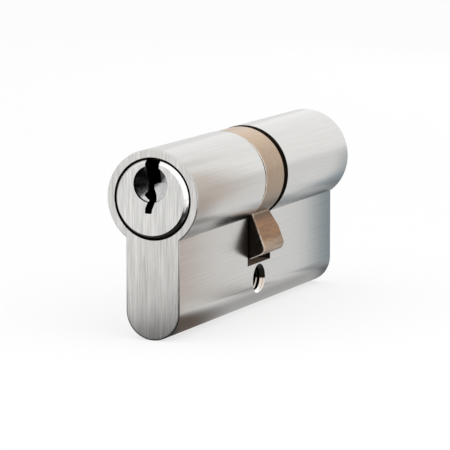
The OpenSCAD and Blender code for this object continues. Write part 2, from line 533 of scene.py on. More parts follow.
class Field:
    """A number that varies over a surface. Arithmetic on it adds Math nodes."""

    def __init__(self, graph: "Nodes", socket: bpy.types.NodeSocket) -> None:
        """Wraps the output that carries the number, and keeps the nodes that it is among."""
        self.graph, self.socket = graph, socket

    def __add__(self, other: "Scalar") -> "Field":
        """Adds."""
        return self.graph.maths("ADD", self, other)

    __radd__ = __add__

    def __mul__(self, other: "Scalar") -> "Field":
        """Multiplies."""
        return self.graph.maths("MULTIPLY", self, other)

    __rmul__ = __mul__

    def __sub__(self, other: "Scalar") -> "Field":
        """Subtracts."""
        return self.graph.maths("SUBTRACT", self, other)

    def __rsub__(self, other: "Scalar") -> "Field":
        """Subtracts from a number."""
        return self.graph.maths("SUBTRACT", other, self)

    def __pow__(self, other: "Scalar") -> "Field":
        """Raises to a power."""
        return self.graph.maths("POWER", self, other)

    def __abs__(self) -> "Field":
        """Drops the sign."""
        return self.graph.maths("ABSOLUTE", self)


Scalar = Field | float


class Nodes:
    """The nodes of one material or of the world."""

    def __init__(self, owner: bpy.types.Material | bpy.types.World) -> None:
        """Starts with no nodes.

        Args:
            owner: What the nodes belong to.
        """
        owner.use_nodes = True
        self.owner, self.tree = owner, owner.node_tree
        self.tree.nodes.clear()

    def node(self, kind: str, settings: dict[str, Any] | None = None,
             sockets: dict[str | int, Any] | None = None) -> bpy.types.Node:
        """Adds a node.

        Args:
            kind: The node's type.
            settings: What is set on the node itself, before its sockets.
            sockets: Values or links for its inputs.

        Returns:
            The node.
        """
        made = self.tree.nodes.new(kind)
        for key, value in (settings or {}).items():
            setattr(made, key, value)
        for key, value in (sockets or {}).items():
            if isinstance(value, Field):
                value = value.socket
            if isinstance(value, bpy.types.NodeSocket):
                self.tree.links.new(value, made.inputs[key])
            else:
                made.inputs[key].default_value = value
        return made

    def maths(self, operation: str, *values: Scalar) -> Field:
        """Works a sum out with a Math node."""
        made = self.node("ShaderNodeMath", {"operation": operation}, dict(enumerate(values)))
        return Field(self, made.outputs[0])

    def mixed(self, factor: Any, first: bpy.types.Node, second: bpy.types.Node) -> bpy.types.Node:
        """Mixes two shaders. The factor is how much of the second one shows."""
        return self.node("ShaderNodeMixShader", {}, {
            0: factor, 1: first.outputs[0], 2: second.outputs[0]})

    def glow(self, colour: Any, strength: float = 1.0) -> bpy.types.Node:
        """Makes a shader that gives light of its own."""
        return self.node("ShaderNodeEmission", {}, {"Color": colour, "Strength": strength})

    def end(self, surface: bpy.types.Node, kind: str = "ShaderNodeOutputMaterial") -> None:
        """Ends the nodes in a shader."""
        self.node(kind, {}, {"Surface": surface.outputs[0]})


class Graph(Nodes):
    """The nodes of one surface, in millimetres of the piece's own frame."""

    def __init__(self, name: str) -> None:
        """Starts a material and reads the place on the surface.

        Args:
            name: The material's name.
        """
        super().__init__(bpy.data.materials.new(name))
        place = self.node("ShaderNodeTexCoord").outputs["Object"]
        parts = self.node("ShaderNodeSeparateXYZ", {}, {"Vector": place}).outputs
        self.x, self.y, self.z = (Field(self, parts[n]) * (1 / MM) for n in "XYZ")

    def distance(self, first: Scalar, second: Scalar) -> Field:
        """Gives the length of a step with two parts at right angles."""
        return (first * first + second * second) ** 0.5

    def rise(self, value: Field, low: float, high: float) -> Field:
        """Goes smoothly from 0 to 1 as a value goes from one bound to the other.

        Args:
            value: The value.
            low: Where it starts.
            high: Where it is full.

        Returns:
            The smooth step.
        """
        made = self.node(
            "ShaderNodeMapRange", {"interpolation_type": "SMOOTHSTEP"},
            {"Value": value, "From Min": low, "From Max": high},
        )
        return Field(self, made.outputs["Result"])

    def fall(self, value: Field, low: float, high: float) -> Field:
        """Goes smoothly from 1 to 0 as a value goes from one bound to the other."""
        return 1 - self.rise(value, low, high)

    def band(self, value: Field, start: float, full: float, fading: float, gone: float) -> Field:
        """Goes from 0 to 1 between the first two bounds, and back to 0 between the last two."""
        return self.rise(value, start, full) * self.fall(value, fading, gone)

    def grain(self, x: Scalar, y: Scalar, z: Scalar, detail: float = 2) -> Field:
        """Gives noise about 0 at a place measured in grains.

        Args:
            x: The first part of the place.
            y: The second part.
            z: The third part.
            detail: How many finer layers it has.

        Returns:
            Noise, mostly from -1 to 1.
        """
        place = self.node("ShaderNodeCombineXYZ", {}, {"X": x, "Y": y, "Z": z}).outputs[0]
        noise = self.node("ShaderNodeTexNoise", {}, {"Vector": place, "Scale": 1.0,
                                                     "Detail": detail, "Roughness": 0.6})
        return Field(self, noise.outputs["Fac"]) * 4 - 2

    def texture(self, *fineness: float, detail: float = 2) -> Field:
        """Gives noise with so many grains to a millimetre: one number, or one for each axis."""
        x, y, z = fineness if len(fineness) > 1 else 3 * fineness
        return self.grain(x * self.x, y * self.y, z * self.z, detail)

    def between(self, factor: Scalar, first: Colour | Any, second: Colour | Any) -> Any:
        """Blends two colours.

        Args:
            factor: How much of the second colour shows.
            first: A colour or a colour socket.
            second: Another.

        Returns:
            The blend's socket.
        """
        sides = {6: first, 7: second}
        sides = {k: (*c, 1.0) if isinstance(c, tuple) else c for k, c in sides.items()}
        made = self.node("ShaderNodeMix", {"data_type": "RGBA"}, {0: factor, **sides})
        return made.outputs[2]

    def scaled(self, colour: Colour | Any, amount: Scalar) -> Any:
        """Makes a colour lighter or darker by a factor.

        Args:
            colour: A colour or a colour's socket.
            amount: The factor.

        Returns:
            The new colour's socket.
        """
        made = self.node("ShaderNodeVectorMath", {"operation": "SCALE"},
                         {0: colour, "Scale": amount})
        return made.outputs[0]

    def metal(self, colour: Any, roughness: Scalar, height: Scalar, depth: float,
              metallic: float = 1) -> None:
        """Ends the graph in a metal surface.

        Args:
            colour: The colour's socket.
            roughness: The roughness.
            height: The relief, as noise about 0.
            depth: What a height of 1 stands for, in millimetres.
            metallic: How bare the metal is.
        """
        relief = self.node("ShaderNodeBump", {}, {"Strength": 1.0, "Distance": depth * MM,
                                                  "Height": height})
        surface = self.node("ShaderNodeBsdfPrincipled", {}, {
            "Base Color": colour, "Metallic": metallic, "Roughness": roughness,
            "Normal": relief.outputs["Normal"],
        })
        self.end(surface)


@dataclass(frozen=True)
class Finish:
    """What a surface is finished with.

    Args:
        name: The material's name.
    """

    name: str

    def material(self) -> bpy.types.Material:
        """Builds the material.

        Returns:
            The material.
        """
        g = Graph(self.name)
        self.paint(g)
        return g.owner

    def paint(self, g: Graph) -> None:
        """Fills the material's graph."""
        raise NotImplementedError


@dataclass(frozen=True)
class BrushedNickel(Finish):
    """Satin nickel plate: brushed down the end faces and along the sides.

    Args:
        end: The distance past which a surface is an end face.
        tone: The colour of the plate.
        end_gain: How much lighter the end faces are.
        contrast: How strongly the brush lines show.
        roughness: Its roughness.
    """

    end: float
    tone: Colour = (0.545, 0.538, 0.522)
    end_gain: float = 1.15
    contrast: float = 0.35
    roughness: float = 0.23

    def paint(self, g: Graph) -> None:
        """Paints the plate, with brush lines that follow each face.

        Args:
            g: The surface's nodes.
        """
        face = g.rise(abs(g.y), self.end - 0.12, self.end - 0.02)
        upright = 0.5 * g.texture(3.1, 0.5, 0.1) + 0.55 * g.texture(7, 0.5, 0.25)
        lengthwise = 0.6 * g.texture(4, 0.05, 4)
        clouds = g.texture(0.12)
        lines = face * upright + (1 - face) * lengthwise * 0.25
        gain = 1 + (self.end_gain - 1) * face
        colour = g.scaled(self.tone, gain * (1 + self.contrast * lines + 0.015 * clouds))
        roughness = self.roughness + 0.04 * lines + 0.12 * face
        g.metal(g.scaled(colour, self.shade(g)), roughness, lines, 0.004)

    def shade(self, g: Graph) -> Scalar:
        """Gives how much of the plate's light is left by painted shade: here all of it."""
        return 1.0


@dataclass(frozen=True)
class ShadedNickel(BrushedNickel):
    """The housing's plate, with painted shade in its crease and round its faces, and darker ends.

    Args:
        stem: Half the stem's width.
        foot: The height of the middle of the stem's foot.
        crease_top: The heights between which the crease ends.
        near_shade_run: Where along the bar the painted shade near the slot starts, is full, fades
            and is gone.
        near_shade_reach: Where across the bar it fades.
        far_shade_run: Where along the bar the painted shade on the far half starts and is full.
        far_shade_reach: Where across the bar it fades.
        darkening_height: The heights where the darker band behind the outside face starts, is
            full, fades and is gone.
        edge_shade_height: The heights between which the painted shade round the faces fades.
    """

    stem: float = 5
    foot: float = -19.5
    crease_top: Bounds = (-5, -4)
    near_shade_run: Band = (-29, -17, -5, -4)
    near_shade_reach: Bounds = (5.7, 6.8)
    far_shade_run: Bounds = (4, 34)
    far_shade_reach: Bounds = (5.4, 7)
    darkening_height: Band = (-7.4, -6.6, -4, 2.5)
    edge_shade_height: Bounds = (-22, -8)

    def shade(self, g: Graph) -> Scalar:
        """Gives how much of the plate's light is left by the painted shade and the darker ends."""
        return 1 - 0.8 * (self.crease_shade(g) + self.end_darkening(g) + self.edge_shade(g))

    def crease_shade(self, g: Graph) -> Field:
        """Gives the painted shade along the crease: on the near half up to the slot, and growing
        along the far half.

        Args:
            g: The surface's nodes.

        Returns:
            How much there is, from 0.
        """
        out = abs(g.x)
        under = g.rise(out, self.stem + 0.03, self.stem + 0.3)
        crease = under * g.fall(g.z, *self.crease_top)
        # Painted shade along the crease under the barrel, on both halves.
        painted_shade = g.band(g.y, *self.near_shade_run) * g.fall(out, *self.near_shade_reach)
        far_shade = g.rise(g.y, *self.far_shade_run) * g.fall(out, *self.far_shade_reach)
        return crease * painted_shade + 1.2 * (crease * far_shade)

    def end_darkening(self, g: Graph) -> Field:
        """Gives where the plate is darker: behind the outside face, and on the foot's far corner.

        Args:
            g: The surface's nodes.

        Returns:
            How much there is, from 0.
        """
        # Darker behind the outside face and on the foot's far corner.
        behind_face = g.band(g.y, 0.05 - self.end, 0.2 - self.end, 1 - self.end, 11 - self.end)
        corner = g.band(g.y, self.end - 9, self.end + 1, self.end - 0.2, self.end - 0.05)
        low = g.fall(g.z, self.foot - 3.5, self.foot - 1)
        return 0.45 * (behind_face * g.band(g.z, *self.darkening_height)) + 0.8 * (corner * low)

    def edge_shade(self, g: Graph) -> Field:
        """Gives the painted shade round the edge of both faces, heavier towards the foot.

        Args:
            g: The surface's nodes.

        Returns:
            How much there is, from 0.
        """
        along_bar = abs(g.y)
        start, full = self.end - 0.06, self.end - 0.01
        # Painted shade on the rounded edges of both faces and round their borders.
        rim = g.band(along_bar, self.end - 0.24, self.end - 0.18, start, full)
        reach = g.distance(g.x, g.maths("MINIMUM", g.z - self.foot, 0.0))
        border = g.rise(along_bar, start, full) * g.rise(
            reach, self.stem - 0.46, self.stem - 0.2)
        return 0.75 * (rim + 0.7 * border) * g.fall(g.z, *self.edge_shade_height)


@dataclass(frozen=True)
class PolishedNickel(Finish):
    """Bright plate on a chamfer, with the faint rings of the lathe.

    Args:
        tone: The colour of the plate.
        lower_shade_height: The heights between which the painted shade fades.
    """

    tone: Colour = (0.68, 0.67, 0.66)
    lower_shade_height: Bounds = (-3.3, -2.5)

    def paint(self, g: Graph) -> None:
        """Paints the plate, with painted shade along the lower half.

        Args:
            g: The surface's nodes.
        """
        rings = g.grain(14 * g.distance(g.x, g.z), 14 * g.y, 0.0)
        # Painted shade over the lower half of the bevel.
        lower_shade = g.fall(g.z, *self.lower_shade_height)
        colour = g.scaled(self.tone, (1 + 0.03 * rings) * (1 - 0.75 * lower_shade))
        g.metal(colour, 0.1 + 0.03 * rings, rings, 0.001)


@dataclass(frozen=True)
class PressedGuide(Finish):
    """The dished guide round the keyway, with marks that run to its middle.

    Args:
        centre: The height of the dish's middle above the axis.
        tone: The colour of the plate.
        shaded_share: The share of its light that the painted shade leaves.
        speck: How much more the specks leave.
    """

    centre: float
    tone: Colour = grey(0.52)
    shaded_share: float = 0.12
    speck: float = 0.25

    def paint(self, g: Graph) -> None:
        """Paints the dish: lit on one side, with painted shade and lighter specks on the other.

        Args:
            g: The surface's nodes.
        """
        up = g.z - self.centre
        bearing = g.maths("ARCTAN2", up, g.x)
        marks = g.grain(18 * bearing, 2.4 * g.distance(up, g.x), 0.0, 3)
        # Painted shade over the upper left of the dish, with lighter specks in it; the lower right
        # stays lit.
        lit_side = g.rise(0.6 * g.x - 0.8 * up, 0.2, 1)
        specks = g.rise(g.texture(5, 5, 9), 0.1, 0.5)
        light = self.shaded_share + self.speck * specks + (
            (1 - self.shaded_share) - self.speck * specks) * lit_side
        colour = g.scaled(self.tone, light * (1 + 0.3 * marks))
        g.metal(colour, 0.12 + 0.04 * marks, marks, 0.008)


@dataclass(frozen=True)
class DarkCut(Finish):
    """A cut wall inside the lock, with a near-black tone that is painted shade.

    Args:
        tone: The colour of the wall.
        roughness: Its roughness.
    """

    tone: Colour
    roughness: float = 0.45

    def paint(self, g: Graph) -> None:
        """Paints the wall, with smears and the tracks of the tool.

        Args:
            g: The surface's nodes.
        """
        smears = g.texture(0.9)
        tracks = g.texture(6, 0.6, 6)
        # The near-black tone is painted shade.
        colour = g.scaled(self.tone, 1 + 0.25 * smears + 0.1 * tracks)
        g.metal(colour, self.roughness + 0.08 * smears, tracks, 0.003)


@dataclass(frozen=True)
class PaintedReflectionFloor(Finish):
    """The slot's floor, painted dark brown: a painted reflection of the cam.

    Args:
        tone: The painted colour.
    """

    tone: Colour = (0.26, 0.2, 0.15)

    def paint(self, g: Graph) -> None:
        """Paints the floor, with smears.

        Args:
            g: The surface's nodes.
        """
        smears = g.texture(0.7, detail=3)
        # The dark brown tone is a painted reflection of the cam.
        g.metal(g.scaled(self.tone, 1 + 0.3 * smears), 0.55 + 0.1 * smears, smears, 0.01,
                metallic=0.25)


@dataclass(frozen=True)
class TappedHole(Finish):
    """The fixing screw's hole: near-white metal as a painted highlight, with painted shade under
    its roof and in its thread roots, apart from the flared mouths.

    Args:
        height: The height of the hole's axis.
        core: The radius of the thread's crests.
        flare: Where its flared mouths start along X.
        tone: The near-white colour of the metal, a painted highlight.
        painted_shade: The colour of the painted shade.
        roof: The heights above its axis between which the painted shade begins.
    """

    height: float
    core: float
    flare: float
    tone: Colour = (1.0, 0.99, 0.97)
    painted_shade: Colour = (0.012, 0.011, 0.009)
    roof: Bounds = (-0.35, 0)

    def paint(self, g: Graph) -> None:
        """Paints the hole, with painted shade over its roof and in its thread roots.

        Args:
            g: The surface's nodes.
        """
        up = g.z - self.height
        out = g.distance(g.y, up)
        smears = g.texture(1.2, detail=3)
        # Painted shade over the roof and in the thread roots; the near-white tone left elsewhere
        # is a painted highlight.
        roof = g.rise(up + 0.15 * smears, *self.roof)
        root = g.rise(out, self.core + 0.05, self.core + 0.25) * g.fall(
            abs(g.x), self.flare - 0.05, self.flare + 0.05)
        colour = g.between(g.maths("MAXIMUM", roof, root), self.tone, self.painted_shade)
        g.metal(colour, 0.16 + 0.03 * smears, smears, 0.002)


@dataclass(frozen=True)
class CamBronze(Finish):
    """Warm plated steel: fine rings round the cam and coarse cuts across its tongue.

    Args:
        ring: The radius of the ring, past which the tongue begins.
        tone: The colour of the ring.
        tongue_tone: The colour of the tongue.
        tip_tone: The colour of its rubbed tip.
        tip_worn: The distances from the axis between which the rubbing begins.
        ring_shade_height: The heights between which the painted shade on the ring fades.
        highlight_start: The height past which the ring carries a painted highlight.
    """

    ring: float
    tone: Colour = (0.33, 0.235, 0.155)
    tongue_tone: Colour = (0.21, 0.104, 0.04)
    tip_tone: Colour = (0.32, 0.235, 0.165)
    tip_worn: Bounds = (12.8, 14.8)
    ring_shade_height: Bounds = (-5.5, 0.5)
    highlight_start: float = 3.5

    def paint(self, g: Graph) -> None:
        """Paints the ring with a painted highlight on top and painted shade below, the darker root
        of the tongue, its cuts and its rubbed tip.

        Args:
            g: The surface's nodes.
        """
        out = g.distance(g.x, g.z)
        tongue = g.rise(out, self.ring + 0.02, self.ring + 0.5)
        rings = g.texture(0.3, 7, 0.3, detail=3)
        cuts = 0.6 * g.grain(1.5 * out, 0.12 * g.y, 0.0, 3) + 0.4 * g.grain(
            4 * out, 0.4 * g.y, 4.0)
        lines = (1 - tongue) * rings * 0.5 + tongue * cuts
        stain = g.texture(1.1, detail=3)
        colour = g.between(tongue, self.tone, self.tongue_tone)
        colour = g.between(g.rise(out, *self.tip_worn), colour, self.tip_tone)
        # The tongue is darker towards its root.
        root = tongue * g.fall(out, self.ring + 0.3, self.ring + 2)
        # Painted shade on the ring's lower part, and a painted highlight on its top.
        ring_shade = (1 - tongue) * g.fall(g.z, *self.ring_shade_height)
        top_highlight = g.rise(g.z, self.highlight_start, self.ring) * (1 - tongue)
        light_and_wear = 1 + 0.5 * top_highlight - 0.6 * root - 0.35 * ring_shade
        colour = g.scaled(colour, (1 + (0.3 + 0.35 * tongue) * lines + 0.1 * stain) * light_and_wear)
        g.metal(colour, 0.3 + 0.05 * lines + 0.04 * tongue, lines, 0.005)


@dataclass(frozen=True)
class WornAndLitEdge(Finish):
    """An edge of the cam, bright partly from rubbing and partly as a painted highlight, most of
    all near the tip.

    Args:
        dull: The colour where the edge is dull.
        bright: The colour where the edge is rubbed and carries a painted highlight.
        ring: The distances from the axis between which the ring's own edges end.
        tip: The distances between which the tongue's edges turn bright.
    """

    dull: Colour = (0.34, 0.27, 0.2)
    bright: Colour = (0.8, 0.76, 0.69)
    ring: Bounds = (8.5, 8.8)
    tip: Bounds = (10, 14)

    def paint(self, g: Graph) -> None:
        """Paints the edge, with nicks.

        Args:
            g: The surface's nodes.
        """
        nicks = g.texture(1.6, detail=3)
        out = g.distance(g.x, g.z)
        # The bright edges are partly wear and partly a painted highlight.
        bright_share = g.maths("MAXIMUM", g.fall(out, *self.ring), g.rise(out, *self.tip))
        wear_and_highlight = g.maths("MAXIMUM", 0.1 + 0.7 * bright_share + 0.5 * nicks, 0.0)
        colour = g.between(wear_and_highlight, self.dull, self.bright)
        g.metal(colour, 0.22 + 0.05 * nicks, nicks, 0.004)


@dataclass(frozen=True)
class TurnedMetal(Finish):
    """Bar stock turned on a lathe about an upright axis.

    Args:
        tone: The metal's colour.
        roughness: Its roughness.
        pitch: How many tool marks there are to a millimetre.
    """

    tone: Colour
    roughness: float
    pitch: float = 9

    def paint(self, g: Graph) -> None:
        """Paints the bar, with the marks of the lathe.

        Args:
            g: The surface's nodes.
        """
        marks = g.texture(0.3, 0.3, self.pitch)
        stain = g.texture(0.5, detail=3)
        colour = g.scaled(self.tone, 1 + 0.07 * marks + 0.06 * stain)
        g.metal(colour, self.roughness + 0.04 * marks + 0.03 * stain, marks, 0.003)


@dataclass(frozen=True)
class StampedSteel(Finish):
    """Steel that is stamped or drawn and then hardened, with a bluish scale.

    Args:
        tone: The metal's colour.
        roughness: Its roughness.
    """

    tone: Colour
    roughness: float

    def paint(self, g: Graph) -> None:
        """Paints the steel, with scale and drawing lines.

        Args:
            g: The surface's nodes.
        """
        scale = g.texture(1.4, detail=4)
        drawn = g.texture(9, 0.8, 9)
        colour = g.scaled(self.tone, 1 + 0.08 * scale + 0.04 * drawn)
        g.metal(colour, self.roughness + 0.05 * scale, 0.5 * scale + 0.5 * drawn, 0.003)


# Sub-assemblies


@dataclass
class Housing:
    """The bar with its two bores, the slot for the cam, and the holes in its stem."""

    bore: float = 6.53
    bore_ease: float = 0.1
    seat: float = 7.1
    seat_depth: float = 1.7
    seat_mouth: float = 0.07
    stem: float = 5
    end_round: float = 0.22
    slot_floor: float = 15.65
    slot_half: float = 5.2
    slot_edge: float = 0.08
    chamber: float = 1.5
    chamber_top: float = -5
    guard: float = 1.27
    guard_top: float = -8
    screw_core: float = 2.1
    screw_major: float = 2.5
    screw_pitch: float = 0.8
    mouth_foot: float = 2.02
    mouth_rim: float = 2.8
    mouth_depth: float = 0.85
    past: float = 1
    round_steps: int = 120
    foot_steps: int = 60
    bore_steps: int = 128
    tap_steps: int = 40

    def __post_init__(self) -> None:
        """Reads what the frame says of the bar and its mounts."""
        extent = Extent.of("housing")
        self.half, self.barrel, self.foot = extent.high.y, extent.high.z, extent.low.z
        self.foot_centre = self.foot + self.stem
        mounts = {m["name"]: m for m in frame["record"]["mounts"]}
        self.screw_z = mounts["fixing_screw_hole"]["pos_m"][2] / MM

    def outline(self) -> list[Point]:
        """Gives the section of the bar.

        Returns:
            The corners, in order.
        """
        crease = math.degrees(math.acos(self.stem / self.barrel))
        round_top = arc((0, 0), self.barrel, -crease, 180 + crease, self.round_steps)
        round_foot = arc((0, self.foot_centre), self.stem, 180, 360, self.foot_steps)
        return [*round_top, *round_foot]

    def blank(self) -> Solid:
        """Draws the bar, rounds its end edges and mills the slot for the cam.

        Returns:
            The bar.
        """
        bar = Solid.bar(self.outline(), -self.half, self.half)
        bar.softened(self.end_round, along(1, self.half), 4)
        slot = Solid.block(
            (-self.barrel - self.past, -self.slot_half, -self.slot_floor),
            (self.barrel + self.past, self.slot_half, self.barrel + self.past),
        )
        # The slot's walls wear the near-black cut finish, painted shade, and its floor a painted
        # reflection of the cam.
        slot.wearing(Face.CUT).wearing(Face.GUIDE, lambda m: m.z < TOUCH - self.slot_floor)
        bar.cut(slot)
        walls = along(1, self.slot_half)

        def rim(edge: bmesh.types.BMEdge) -> bool:
            """Picks the edges where the slot opens on the outside.

            Args:
                edge: The edge.

            Returns:
                Whether it is one of them.
            """
            on_wall = walls(edge)
            on_floor = all(abs(v.co.z + self.slot_floor) < TOUCH for v in edge.verts)
            outside = all(abs(abs(v.co.x) - self.stem) < TOUCH for v in edge.verts)
            ring = all(self.barrel - v.co.xz.length < TOUCH * 10 for v in edge.verts)
            return (on_wall and (outside or ring)) or (on_floor and outside)

        return bar.softened(self.slot_edge, rim)

    def bore_tool(self) -> Solid:
        """Gives the shape of both bores and the seats at their mouths.

        Returns:
            The shape to cut.
        """
        mouth = self.seat + self.seat_mouth
        step = self.half - self.seat_depth
        one_end = [
            (0, self.half + self.past), (mouth + self.past, self.half + self.past),
            (mouth, self.half), (self.seat, self.half - self.seat_mouth),
            (self.seat, step), (self.bore + self.bore_ease, step),
            (self.bore, step - self.bore_ease),
        ]
        other_end = [(r, -d) for r, d in reversed(one_end)]
        return Solid.turned([*one_end, *other_end], steps=self.bore_steps).wearing(Face.CUT)

    def stem_tools(self, stacks: Sequence[float], guards: Sequence[float]) -> Solid:
        """Gives the pin chambers and the holes for the hardened rods.

        Args:
            stacks: The distances of the pin stacks along the bar.
            guards: The distances of the hardened rods.

        Returns:
            The shape to cut.
        """
        low = self.foot - self.past
        chambers = [
            Solid.rod((0, y, low), self.chamber_top - low, self.chamber) for y in stacks
        ]
        holes = [Solid.rod((0, y, low), self.guard_top - low, self.guard) for y in guards]
        return Solid.gathered([*chambers, *holes]).wearing(Face.CUT)

    def screw_tap(self) -> Solid:
        """Gives the threaded hole for the fixing screw as one screw-shaped body.

        Returns:
            The shape to cut.
        """
        core, major, pitch = self.screw_core, self.screw_major, self.screw_pitch
        turns, steps = math.ceil(2 * (self.stem + self.past) / pitch), self.tap_steps
        tap = Solid()
        # The crest, the way down to the root, the root and the way back, in shares of the pitch.
        flank = [(core, 0), (core, 0.125), (major, 0.5625), (major, 0.625), (core, 1)]
        line = [tap.mesh.verts.new((r, 0, share * pitch)) for r, share in flank]
        edges = [tap.mesh.edges.new(pair) for pair in zip(line, line[1:])]
        bmesh.ops.spin(
            tap.mesh, geom=[*line, *edges], cent=(0, 0, 0), axis=(0, 0, 1),
            dvec=(0, 0, pitch / steps), angle=FULL_TURN * turns, steps=steps * turns,
        )
        bmesh.ops.remove_doubles(tap.mesh, verts=tap.mesh.verts[:], dist=TOUCH)
        tap.moved((0, 0, -pitch * (turns + 1) / 2))
        for side in (-1, 1):
            rim = [e for e in tap.mesh.edges if e.is_boundary and e.verts[0].co.z * side > 0]
            made = bmesh.ops.extrude_edge_only(tap.mesh, edges=rim)
            ends = [v for v in made["geom"] if isinstance(v, bmesh.types.BMVert)]
            point = (0, 0, side * (self.stem + 3 * self.past))
            bmesh.ops.pointmerge(tap.mesh, verts=ends, merge_co=point)
        tap.outward().swung(Axis.X.turn()).moved((0, 0, self.screw_z))
        return tap.wearing(Face.RIM)

    def mouths(self) -> Solid:
        """Gives the smooth flared mouths at both ends of the screw's hole.

        Returns:
            The shape to cut.
        """
        flare = (self.mouth_rim - self.mouth_foot) / self.mouth_depth
        start, length = self.stem - self.mouth_depth, self.mouth_depth + self.past
        cones = []
        for side in Half:
            cone = Solid.rod((start, 0, 0), length, self.mouth_foot, Axis.X,
                             self.mouth_foot + flare * length)
            cones.append(cone.swung(side.turn()).moved((0, 0, self.screw_z)))
        return Solid.gathered(cones).wearing(Face.RIM)

    def build(self, finishes: Sequence[bpy.types.Material]) -> None:
        """Makes the housing.

        Args:
            finishes: Its finishes, in the order of Face.
        """
        stacks = [
            Extent.of(half.node(f"key_pin_{n + 1}")).middle.y
            for half in Half for n in range(PIN_STACKS)
        ]
        guards = [Extent.of(half.node("stem_guard")).middle.y for half in Half]
        body = self.blank()
        body.cut(self.bore_tool(), self.stem_tools(stacks, guards), self.screw_tap(),
                 self.mouths())
        piece = body.piece("profile_housing", finishes)
        hand_over(piece, "housing", "satin_nickel", "housing")


@dataclass
class Plug:
    """A turned plug with its flange, key guide, keyway and pin holes."""

    half: Half
    body: float = 6.5
    flat: float = 6.24
    bevel_end: float = 6.88
    bevel_depth: float = 0.84
    bevel_swell: float = 0.02
    bevel_steps: int = 6
    bevel_land: float = 0.08
    rim_reach: float = 0.2
    flange_back: float = 33.35
    flange_ease: float = 0.06
    groove: float = 5.85
    groove_near: float = 5.17
    groove_far: float = 4.33
    tail_chamfer: float = 0.2
    guide: float = 3.17
    guide_rise: float = 2.6
    guide_lip: float = 0.03
    guide_land: float = 0.1
    guide_wall: float = 0.38
    guide_depth: float = 1.7
    guide_floor: float = 0.6
    key_round: float = 0.16
    facets: int = 192
    pin_hole: float = 1.5
    pin_hole_top: float = 2.3
    clutch_gap: float = 0.05
    clutch_travel: float = 2.1
    guard: float = 0.77
    guard_gap: float = 0.05
    past: float = 1
    keyway: tuple[Point, ...] = (
        (-1, 7.6), (-1, 1.2), (-1.4, 0.9), (-1.4, 0.5), (-0.4, -0.25), (-1, -1.5),
        (-1.05, -2.45), (0.2, -2.45), (0.3, -1.75), (0.95, -0.25), (0.7, 0.75),
        (0, 1.8), (0, 2.4), (0.6, 2.7), (1.45, 2.85), (1.6, 4.6), (1.6, 7.6),
    )

    def __post_init__(self) -> None:
        """Reads the outside plug's extent from the frame."""
        extent = Extent.of("outside_plug")
        self.face, self.tail, self.flange = extent.low.y, extent.high.y, extent.high.x

    def blank(self) -> Solid:
        """Turns the plug, with a polished bevel round its face.

        Returns:
            The plug without its holes.
        """
        steps, ease = self.bevel_steps, self.flange_ease
        rim = self.face + self.bevel_depth
        bevel = []
        for n in range(steps + 1):
            share = n / steps
            swell = self.bevel_swell * math.sin(math.pi * share)
            bevel.append((self.flat + (self.bevel_end - self.flat) * share + swell,
                          self.face + self.bevel_depth * share - swell))
        outline = [
            (0, self.face), *bevel, (self.flange, rim + self.bevel_land),
            (self.flange, -self.flange_back - ease), (self.flange - ease, -self.flange_back),
            (self.body, -self.flange_back), (self.body, -self.groove_near),
            (self.groove, -self.groove_near), (self.groove, -self.groove_far),
            (self.body, -self.groove_far), (self.body, self.tail - self.tail_chamfer),
            (self.body - self.tail_chamfer, self.tail), (0, self.tail),
        ]
        blank = Solid.turned(outline, steps=self.facets)
        return blank.wearing(
            Face.RIM, lambda m: m.y < rim + self.rim_reach and m.xz.length > self.flat)

    def keyway_tool(self) -> Solid:
        """Gives the channel that the key slides in.

        Returns:
            The shape to cut.
        """
        ends = (0, len(self.keyway) - 1)
        channel = Solid.bar(self.keyway, self.face - self.past, self.tail + self.past,
                            self.key_round, ends)
        # The keyway's walls wear the near-black cut finish, painted shade.
        return channel.wearing(Face.CUT)

    def guide_tool(self) -> Solid:
        """Gives the dish round the mouth of the keyway.

        Returns:
            The shape to cut.
        """
        wide, land, face = self.guide, self.guide_land, self.face
        lip = wide + self.guide_lip
        dish = Solid.turned([
            (0, face - self.past), (lip + self.past, face - self.past),
            (lip, face), (wide, face + land), (wide - land, face + self.guide_wall),
            (self.guide_floor, face + self.guide_depth), (0, face + self.guide_depth),
        ])
        return dish.moved((0, 0, self.guide_rise)).wearing(Face.GUIDE)

    def pocket_tools(self, stacks: Sequence[float]) -> list[Solid]:
        """Gives the pin holes, the clutch's pocket and the holes for the two rods.

        Args:
            stacks: The distances of the pin stacks along the outside half.

        Returns:
            The shapes to cut.
        """
        clutch = Extent.of("outside_coupling")
        rods = Extent.of("outside_plug_guards")
        rod_x = rods.high.x - rods.size.y / 2
        low = -self.body - self.past
        pins = [Solid.rod((0, y, low), self.pin_hole_top - low, self.pin_hole) for y in stacks]
        bores = [
            Solid.rod((side * rod_x, rods.middle.y, low),
                      rods.high.z + self.guard_gap - low, self.guard)
            for side in (-1, 1)
        ]
        wide, tall = clutch.high.x + self.clutch_gap, clutch.high.z + self.clutch_gap
        bar_start = ClutchHalf.bar_start - self.clutch_travel
        pocket = Solid.block((-wide, bar_start, -tall), (wide, self.past, tall))
        nose_start = clutch.low.y - self.clutch_travel
        nose = Solid.rod((0, nose_start, 0), self.tail - nose_start + self.past,
                         ClutchHalf.nose + self.clutch_gap, Axis.Y)
        return [Solid.gathered([*pins, *bores]).wearing(Face.CUT),
                pocket.wearing(Face.CUT), nose.wearing(Face.CUT)]

    def build(self, stacks: Sequence[float], finishes: Sequence[bpy.types.Material]) -> None:
        """Makes the plug.

        Args:
            stacks: The distances of the pin stacks along the outside half.
            finishes: Its finishes, in the order of Face.
        """
        body = self.blank()
        body.cut(self.guide_tool(), self.keyway_tool(), *self.pocket_tools(stacks))
        body.swung(self.half.turn())
        piece = body.piece(f"{self.half.value}_lock_plug", finishes)
        hand_over(piece, self.half.node("plug"), "plug_nickel", self.half.node("plug"))


